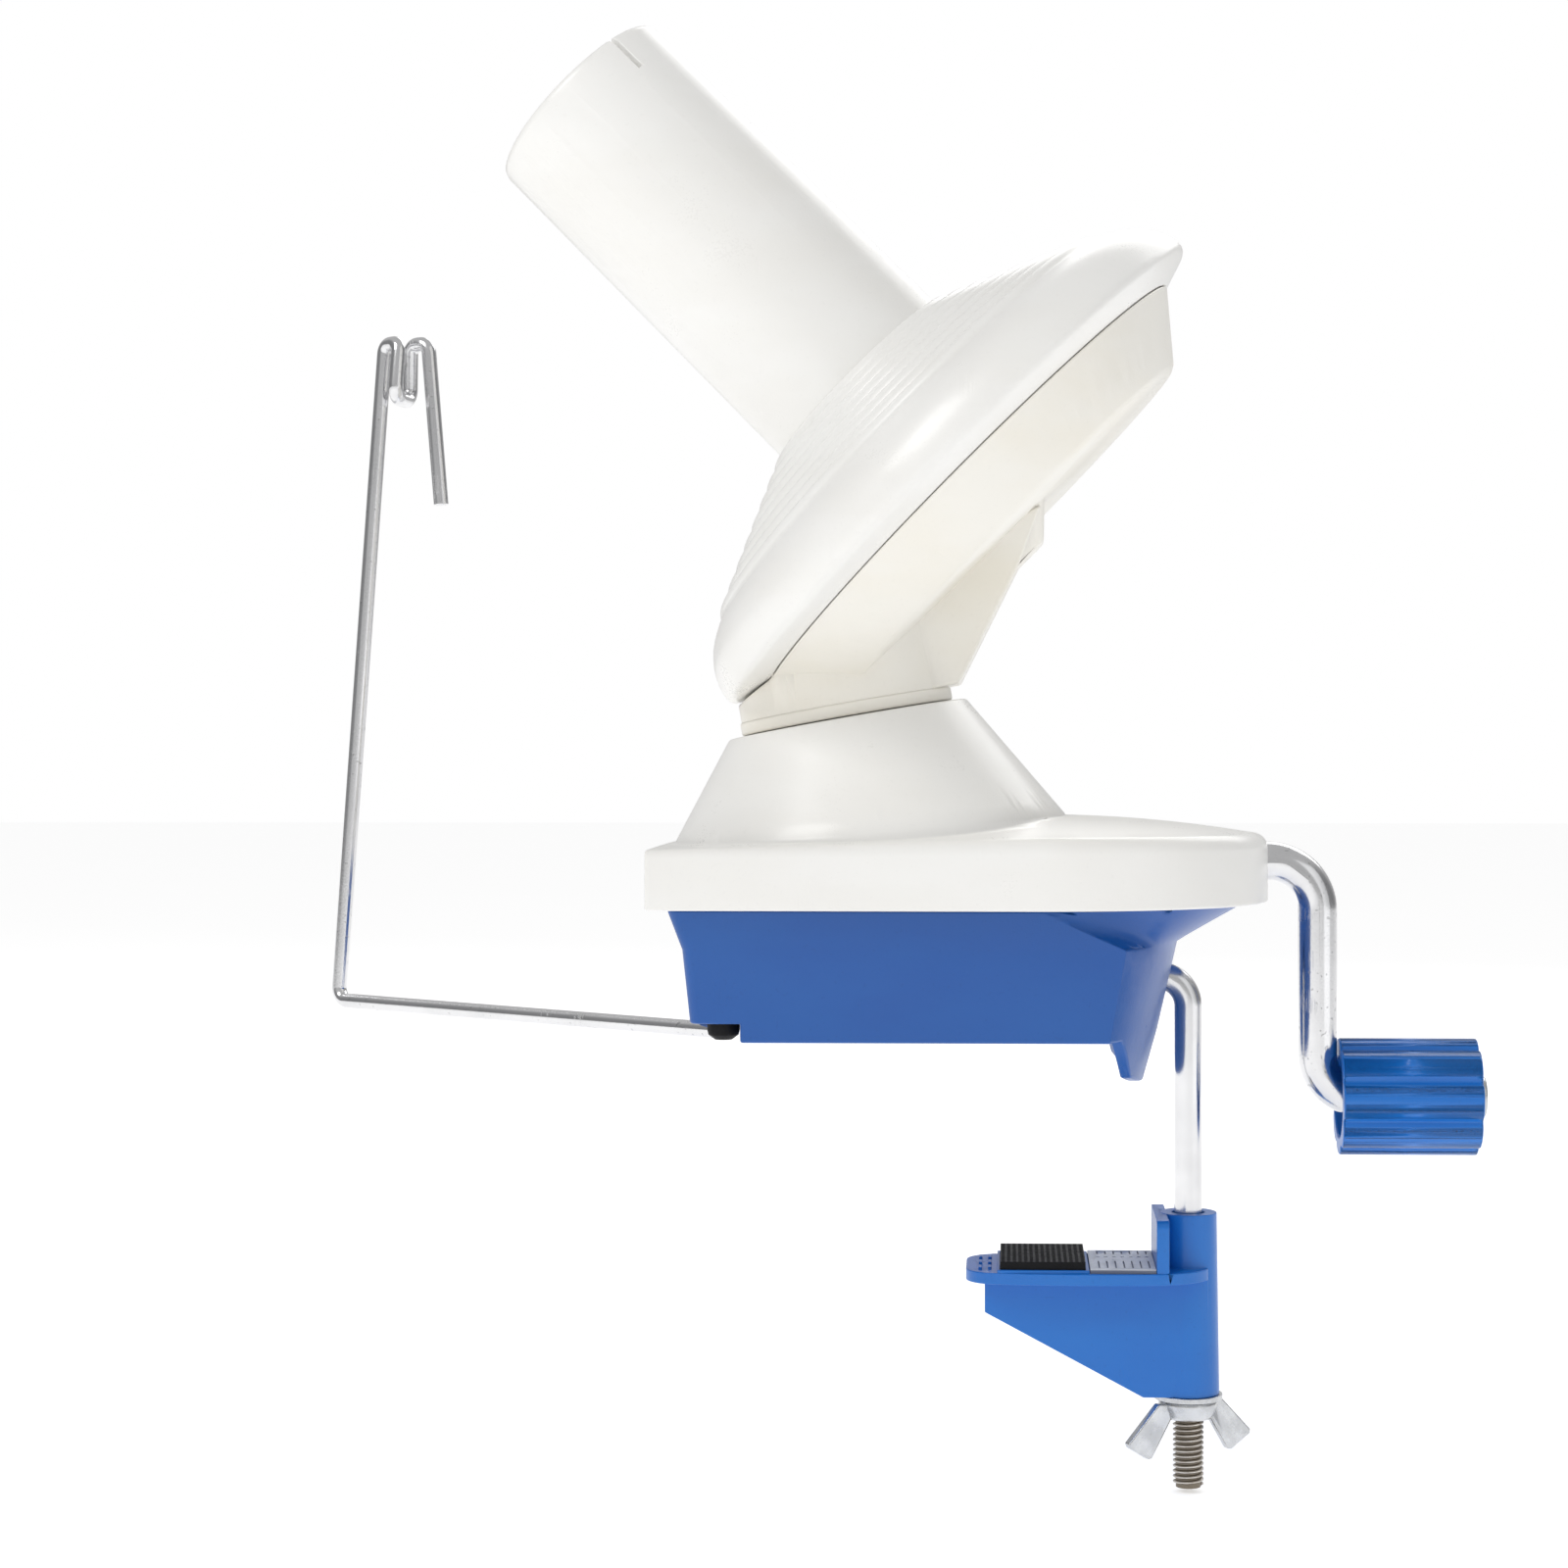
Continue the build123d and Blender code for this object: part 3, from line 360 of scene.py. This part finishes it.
def pressed_strip(name, top):
    """Pale strip on the jaw: pale on top, with painted shade making its sunken slots and dots dark."""
    finish = Finish(name, Metallic=0.0, IOR=1.5)
    height = finish.node("SeparateXYZ", None, {"Vector": finish.place}, output="Z")
    # Mask of the sunken slots and dots, which get painted shade.
    painted_slot_shade = 1.0 - height.between(top - 0.25 * MM, top - 0.05 * MM)
    cloud = finish.noise(240.0, 4.0, 0.6)
    body = finish.blend(cloud.between(0.35, 0.65), (0.64, 0.66, 0.69, 1.0), (0.55, 0.57, 0.60, 1.0))
    # Painted shade: the sunken slots and dots take a dark blue-grey colour.
    finish.drive("Base Color", finish.blend(painted_slot_shade, body, (0.16, 0.18, 0.24, 1.0)))
    finish.drive("Roughness", 0.36 + 0.14 * cloud + 0.2 * painted_slot_shade)
    finish.raise_by(cloud, 0.00004, 0.5)
    return finish.material


def floor_paint(colour):
    """Matte pale floor with a trace of unevenness and a faint glow of its own."""
    finish = Finish("studio_floor", Roughness=0.9, Specular_IOR_Level=0.1, Emission_Strength=0.52,
                    Emission_Color=(1.0, 1.0, 1.0, 1.0))
    cloud = finish.noise(3.0, 4.0)
    finish.drive("Base Color", finish.blend(cloud, shade(colour, 1.0), shade(colour, 0.985)))
    return finish.material


_finishes = {}


def finish_for(slot):
    """The material of one of the record's slots, made on first use."""
    if slot in _finishes:
        return _finishes[slot]
    scene = bpy.context.scene
    colours, sizes = scene.winder_colours, scene.winder_sizes
    strip_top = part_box("grip_strip")[1].z
    makers = {
        "white_plastic": lambda: moulded_plastic(slot, tuple(colours.white), 0.27),
        "cream_plastic": lambda: moulded_plastic(slot, tuple(colours.cream), 0.34, CREAM_TINT),
        "blue_plastic": lambda: moulded_plastic(slot, tuple(colours.blue), 0.36, BLUE_TINT, 1.6, 0.2),
        "blue_light": lambda: moulded_plastic(
            slot, tuple(colours.light_blue), 0.33, BLUE_TINT, 1.6, 0.2),
        "gear_nylon": lambda: natural_nylon(slot, tuple(colours.nylon)),
        "bush_nylon": lambda: natural_nylon(slot, shade(colours.nylon, 0.8)[:3]),
        "chrome_rod": lambda: plated_rod(slot, (0.74, 0.74, 0.75), 0.10),
        "zinc_screw": lambda: zinc_plate(slot, (0.60, 0.61, 0.62), 0.19),
        "bracket_steel": lambda: zinc_plate(slot, (0.48, 0.48, 0.48), 0.34),
        "black_rubber": lambda: knurled_rubber(slot),
        "grey_strip": lambda: pressed_strip(slot, strip_top),
        "thread": lambda: rolled_thread("rolled_thread", rod_axis_x(), sizes.thread_root, sizes.thread_crest),
    }
    _finishes[slot] = makers[slot]()
    return _finishes[slot]


# ---------------------------------------------------------------- piece helpers
def rod_axis_x():
    """X of the clamp rod's upright stem, from the nut's joint."""
    return JOINTS["wing_nut_turn"]["pos_m"][0]


def merged_mesh(node):
    """A bmesh of a CAD node with its doubles merged and its flat faces joined."""
    bm = bmesh.new()
    bm.from_mesh(frame["nodes"][node].data)
    bmesh.ops.remove_doubles(bm, verts=bm.verts, dist=0.002 * MM)
    bmesh.ops.dissolve_degenerate(bm, edges=bm.edges, dist=0.001 * MM)
    bmesh.ops.dissolve_limit(bm, angle_limit=math.radians(0.4), verts=bm.verts, edges=bm.edges)
    return bm


def add_piece(bm, name, body, slot, nodes, material=None, crease=30.0):
    """Makes a bmesh an object that rides on a body, stands for CAD nodes and has one finish."""
    weight = bm.edges.layers.float.new("bevel_weight_edge")
    for edge in bm.edges:
        if edge.is_manifold and edge.is_convex and edge.calc_face_angle() > SHARP:
            edge[weight] = 1.0
    mesh = bpy.data.meshes.new(name)
    bm.to_mesh(mesh)
    bm.free()
    for layer in list(mesh.uv_layers):
        mesh.uv_layers.remove(layer)
    mesh.polygons.foreach_set("use_smooth", [True] * len(mesh.polygons))
    mesh.set_sharp_from_angle(angle=math.radians(crease))
    mesh.materials.clear()
    mesh.materials.append(material or finish_for(slot))
    piece = bpy.data.objects.new(name, mesh)
    bpy.context.scene.collection.objects.link(piece)
    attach(piece, body)
    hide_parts(*nodes)
    return piece


def round_edges(piece, width):
    """Rounds a piece's sharp outer edges, which add_piece has marked."""
    bevel = piece.modifiers.new("rounded", "BEVEL")
    bevel.width = width
    bevel.segments = 3
    bevel.profile = 0.5
    bevel.limit_method = "WEIGHT"
    bevel.use_clamp_overlap = False
    bevel.harden_normals = True


def refine(node, edge=0.0, crease=30.0):
    """A refined copy of a CAD node, with rounded edges if a width is given."""
    piece = add_piece(merged_mesh(node), node + "_finished", BODY_OF[node], SLOT_OF[node], [node],
                      None, crease)
    if edge > 0.0:
        round_edges(piece, edge)
    return piece


def paint(node):
    """Keeps a CAD node's own mesh and gives it its finish."""
    data = frame["nodes"][node].data
    data.materials.clear()
    data.materials.append(finish_for(SLOT_OF[node]))


def axis_frame(joint):
    """A matrix whose Z is a joint's axis, with its origin on the joint."""
    axis = Vector(JOINTS[joint]["axis"]).normalized()
    across = Vector((0.0, 1.0, 0.0)).cross(axis).normalized()
    turn = Matrix((across, axis.cross(across), axis)).transposed().to_4x4()
    return Matrix.Translation(Vector(JOINTS[joint]["pos_m"])) @ turn


def lathe(outline, steps):
    """A closed ring made by spinning a closed outline of (radius, height) points about Z."""
    bm = bmesh.new()
    verts = [bm.verts.new((r, 0.0, h)) for r, h in outline]
    edges = [bm.edges.new((a, b)) for a, b in zip(verts, verts[1:] + verts[:1])]
    bmesh.ops.spin(bm, geom=verts + edges, cent=(0, 0, 0), axis=(0, 0, 1), dvec=(0, 0, 0),
                   angle=math.tau, steps=steps, use_merge=True, use_normal_flip=False, use_duplicate=False)
    bmesh.ops.remove_doubles(bm, verts=bm.verts, dist=0.001 * MM)
    bmesh.ops.recalc_face_normals(bm, faces=bm.faces)
    return bm


# ---------------------------------------------------------------- operators
class WINDER_OT_mouldings(bpy.types.Operator):
    """Finishes the large mouldings: cover, housing, turning arm and winding tube"""

    bl_idname = "winder.mouldings"
    bl_label = "Mouldings"

    def execute(self, context):
        edge = context.scene.winder_sizes.moulding_edge
        for node in ("top_cover", "lower_housing", "rotor_arm"):
            refine(node, edge)
        refine("winding_tube", edge * 0.5)
        return {"FINISHED"}


class WINDER_OT_flange(bpy.types.Operator):
    """Turns the spool's ridged flange: rings, a smooth outer band and a lip rolled inwards"""

    bl_idname = "winder.flange"
    bl_label = "Ridged flange"

    def outline(self, sizes):
        """Closed outline of (radius, height) points, outside first."""
        start, end = Vector((21.0, 26.2)) * MM, Vector((52.0, 11.9)) * MM
        along = (end - start).normalized()
        outward = Vector((-along.y, along.x))
        points = []
        for ridge in range(sizes.flange_ridges):
            for step in range(RING_STEPS):
                share = step / RING_STEPS
                place = start.lerp(end, (ridge + share) / sizes.flange_ridges)
                lift = sizes.ridge_height * math.sin(math.pi * share) ** 0.8
                points.append(place + outward * lift)
        # The outer band is one curve from the last ring round to the lip.
        band = [(52.0, 11.9), (53.4, 11.35), (54.8, 10.6), (56.1, 9.8), (57.3, 8.9), (58.4, 7.8), (59.4, 6.6),
                (60.3, 5.2), (61.0, 3.7), (61.5, 2.2), (61.75, 1.0), (61.7, 0.1), (61.3, -0.6), (60.6, -1.05)]
        lip = [(54.9, -2.93), (54.4, -3.0), (54.0, -2.9), (53.85, -2.6), (54.3, -2.0), (59.4, 0.0)]
        inside = [(59.2, 1.8), (58.3, 3.9), (57.0, 6.0), (55.0, 7.7), (52.0, 9.1), (21.0, 23.4)]
        points += [Vector(point) * MM for point in band + lip + inside]
        return [(point.x, point.y) for point in points]

    def execute(self, context):
        bm = lathe(self.outline(context.scene.winder_sizes), LATHE_STEPS)
        bmesh.ops.transform(bm, matrix=axis_frame("spool_spin"), verts=bm.verts)
        add_piece(bm, "ridged_flange", "spool", "white_plastic", ["spool_flange"], None, 50.0)
        return {"FINISHED"}


class WINDER_OT_rods(bpy.types.Operator):
    """Finishes the bent rods and rolls the thread on the clamp rod's stem"""

    bl_idname = "winder.rods"
    bl_label = "Rods and thread"

    def threaded_stem(self, bm, low, high, sizes):
        """Adds a core and a helical ridge between two heights."""
        axis_x = rod_axis_x()
        core = bmesh.ops.create_cone(bm, cap_ends=True, segments=48, radius1=sizes.thread_root,
                                     radius2=sizes.thread_root, depth=high - low)
        bmesh.ops.translate(bm, verts=core["verts"], vec=(axis_x, 0.0, (low + high) / 2))
        margin = 0.5 * THREAD_PITCH
        turns = int((high - low - 2 * margin) / THREAD_PITCH)
        start = low + margin
        inner, outer = sizes.thread_root - 0.10 * MM, sizes.thread_crest
        corners = [(inner, -0.44), (outer, -0.10), (outer, 0.10), (inner, 0.44)]
        verts = [bm.verts.new((axis_x + r, 0.0, start + share * THREAD_PITCH)) for r, share in corners]
        face = bm.faces.new(verts)
        bmesh.ops.spin(bm, geom=verts + list(face.edges) + [face], cent=(axis_x, 0.0, 0.0), axis=(0, 0, 1),
                       dvec=(0.0, 0.0, THREAD_PITCH / THREAD_STEPS), angle=math.tau * turns,
                       steps=THREAD_STEPS * turns,
                       use_merge=False, use_normal_flip=False, use_duplicate=False)

    def execute(self, context):
        sizes = context.scene.winder_sizes
        refine("yarn_guide_wire", 0.25 * MM)
        refine("crank_rod", 0.4 * MM)
        bm = merged_mesh("clamp_rod")
        geometry = list(bm.verts) + list(bm.edges) + list(bm.faces)
        bmesh.ops.bisect_plane(bm, geom=geometry, dist=1e-7, plane_co=(0.0, 0.0, THREAD_TOP + 0.1 * MM),
                               plane_no=(0.0, 0.0, 1.0), clear_inner=True)
        bmesh.ops.holes_fill(bm, edges=[edge for edge in bm.edges if edge.is_boundary])
        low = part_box("clamp_rod")[0].z
        self.threaded_stem(bm, low, THREAD_TOP + 0.2 * MM, sizes)
        bmesh.ops.recalc_face_normals(bm, faces=bm.faces)
        add_piece(bm, "threaded_clamp_rod", "base", "chrome_rod", ["clamp_rod"], finish_for("thread"), 28.0)
        return {"FINISHED"}


class WINDER_OT_grip(bpy.types.Operator):
    """Finishes the fluted grip"""

    bl_idname = "winder.grip"
    bl_label = "Grip"

    def execute(self, context):
        refine("grip", context.scene.winder_sizes.moulding_edge * 0.8, 40.0)
        return {"FINISHED"}


class WINDER_OT_jaw(bpy.types.Operator):
    """Finishes the clamp's block, its rubber pad, its strip and the wing nut"""

    bl_idname = "winder.jaw"
    bl_label = "Clamp jaw"

    def execute(self, context):
        sizes = context.scene.winder_sizes
        refine("clamp_block", sizes.moulding_edge * 0.45)
        refine("clamp_pad")
        refine("grip_strip")
        refine("clamp_washer", sizes.hardware_edge)
        refine("wing_nut", sizes.hardware_edge * 2.5)
        return {"FINISHED"}


class WINDER_OT_gears(bpy.types.Operator):
    """Finishes the gears, bushes and the inner post"""

    bl_idname = "winder.gears"
    bl_label = "Gears and bushes"

    def execute(self, context):
        for node in ("sun_gear", "spool_gear", "pinion", "crown_gear", "rotor_hub", "head_bush",
                     "crank_bearing", "crank_bush", "shaft_collar", "thrust_washer", "axle_bracket",
                     "head_axle", "spool_axle"):
            paint(node)
        return {"FINISHED"}


class WINDER_OT_hardware(bpy.types.Operator):
    """Finishes the screws, nuts and the guide's small pieces"""

    bl_idname = "winder.hardware"
    bl_label = "Screws and nuts"

    def execute(self, context):
        edge = context.scene.winder_sizes.hardware_edge
        for node in ("housing_screws", "bracket_screws", "bearing_screws", "sun_gear_screw",
                     "crown_gear_screw", "collar_screw", "grip_screw", "spool_gear_screws", "spool_retainer", "clamp_rod_nuts",
                     "guide_retainer"):
            refine(node, edge)
        refine("guide_cap", edge)
        return {"FINISHED"}


class WINDER_OT_stage(bpy.types.Operator):
    """Adds the pale floor, the soft studio lights and the camera"""

    bl_idname = "winder.stage"
    bl_label = "Studio"

    def add_light(self, name, place, target, size, power, colour):
        data = bpy.data.lights.new(name, "AREA")
        data.shape = "RECTANGLE"
        data.size, data.size_y = size
        data.energy = power
        data.color = colour
        lamp = bpy.data.objects.new(name, data)
        lamp.location = place
        lamp.rotation_euler = (Vector(target) - Vector(place)).to_track_quat("-Z", "Y").to_euler()
        bpy.context.scene.collection.objects.link(lamp)

    def add_floor(self, colour):
        low = CAD_BOX[0]
        bm = bmesh.new()
        bmesh.ops.create_grid(bm, x_segments=8, y_segments=8, size=6.0)
        bmesh.ops.translate(bm, verts=bm.verts, vec=(0.0, 0.0, low[2] - 1.0 * MM))
        mesh = bpy.data.meshes.new("studio_floor")
        bm.to_mesh(mesh)
        bm.free()
        mesh.materials.append(floor_paint(colour))
        floor = bpy.data.objects.new("studio_floor", mesh)
        bpy.context.scene.collection.objects.link(floor)

    def add_sky(self, strength):
        """An even surround, grey at both sides to draw the edges of bright metal; it is seen as white."""
        world = bpy.data.worlds.new("studio")
        bpy.context.scene.world = world
        world.use_nodes = True
        graph = Graph(world.node_tree)
        background = world.node_tree.nodes["Background"]
        direction = graph.node("TexCoord", output="Generated")
        across = graph.node("SeparateXYZ", None, {0: direction}, output="X")
        side = graph.node("Math", {"operation": "ABSOLUTE"}, {0: across}).between(0.62, 0.92)
        height = graph.node("SeparateXYZ", None, {0: direction}, output="Z").between(-0.5, 0.6)
        surround = graph.blend(side * 0.62, (1.0, 1.0, 1.0, 1.0), (0.16, 0.165, 0.175, 1.0))
        surround = graph.blend(height, graph.blend(0.18, surround, (0.0, 0.0, 0.0, 1.0)), surround)
        seen = graph.node("LightPath", output="Is Camera Ray")
        graph.feed(background.inputs["Color"], graph.blend(seen, surround, (1.0, 1.0, 1.0, 1.0)))
        graph.feed(background.inputs["Strength"], strength + seen * (1.0 - strength))

    def add_camera(self, studio):
        data = bpy.data.cameras.new("camera")
        data.sensor_width = 36.0
        data.lens = studio.lens
        data.shift_x = studio.shift_across
        data.shift_y = studio.shift_up
        data.clip_start = 0.01
        camera = bpy.data.objects.new("camera", data)
        camera.location = studio.camera_place
        camera.rotation_euler = (math.radians(90.0), 0.0, studio.camera_turn)
        bpy.context.scene.collection.objects.link(camera)
        bpy.context.scene.camera = camera

    def execute(self, context):
        studio = context.scene.winder_studio
        context.scene.view_settings.view_transform = "Standard"
        self.add_floor(tuple(context.scene.winder_colours.floor))
        self.add_sky(studio.sky)
        centre = (0.0, 0.0, 0.06)
        self.add_light("key", (-0.75, -0.70, 0.95), centre, (0.6, 0.6), 5.6, (1.0, 0.995, 0.985))
        self.add_light("fill", (0.95, -0.65, 0.35), centre, (0.8, 1.0), 1.2, (0.98, 0.99, 1.0))
        self.add_light("rim", (0.35, 0.85, 0.75), centre, (1.0, 0.6), 3.5, (1.0, 1.0, 1.0))
        self.add_camera(studio)
        return {"FINISHED"}


class WINDER_PT_panel(bpy.types.Panel):
    """Lists the winder's settings and steps"""

    bl_idname = "WINDER_PT_panel"
    bl_label = "Ball winder"
    bl_space_type = "VIEW_3D"
    bl_region_type = "UI"
    bl_category = "Ball winder"

    def draw(self, context):
        for group in ("winder_sizes", "winder_colours", "winder_studio"):
            settings = getattr(context.scene, group)
            for name in settings.bl_rna.properties.keys():
                if name not in ("rna_type", "name"):
                    self.layout.prop(settings, name)
        for operator in STEPS:
            self.layout.operator(operator.bl_idname)


SETTINGS = {"winder_sizes": WinderSizes, "winder_colours": WinderColours, "winder_studio": WinderStudio}
STEPS = (WINDER_OT_stage, WINDER_OT_mouldings, WINDER_OT_flange, WINDER_OT_rods, WINDER_OT_grip,
         WINDER_OT_jaw, WINDER_OT_gears, WINDER_OT_hardware)


def register():
    for name, group in SETTINGS.items():
        bpy.utils.register_class(group)
        setattr(bpy.types.Scene, name, PointerProperty(type=group))
    for step in STEPS:
        bpy.utils.register_class(step)
    bpy.utils.register_class(WINDER_PT_panel)


def unregister():
    bpy.utils.unregister_class(WINDER_PT_panel)
    for step in reversed(STEPS):
        bpy.utils.unregister_class(step)
    for name, group in SETTINGS.items():
        delattr(bpy.types.Scene, name)
        bpy.utils.unregister_class(group)


def main():
    register()
    bpy.ops.winder.stage()
    bpy.ops.winder.mouldings()
    bpy.ops.winder.flange()
    bpy.ops.winder.rods()
    bpy.ops.winder.grip()
    bpy.ops.winder.jaw()
    bpy.ops.winder.gears()
    bpy.ops.winder.hardware()


if __name__ == "__main__":
    main()
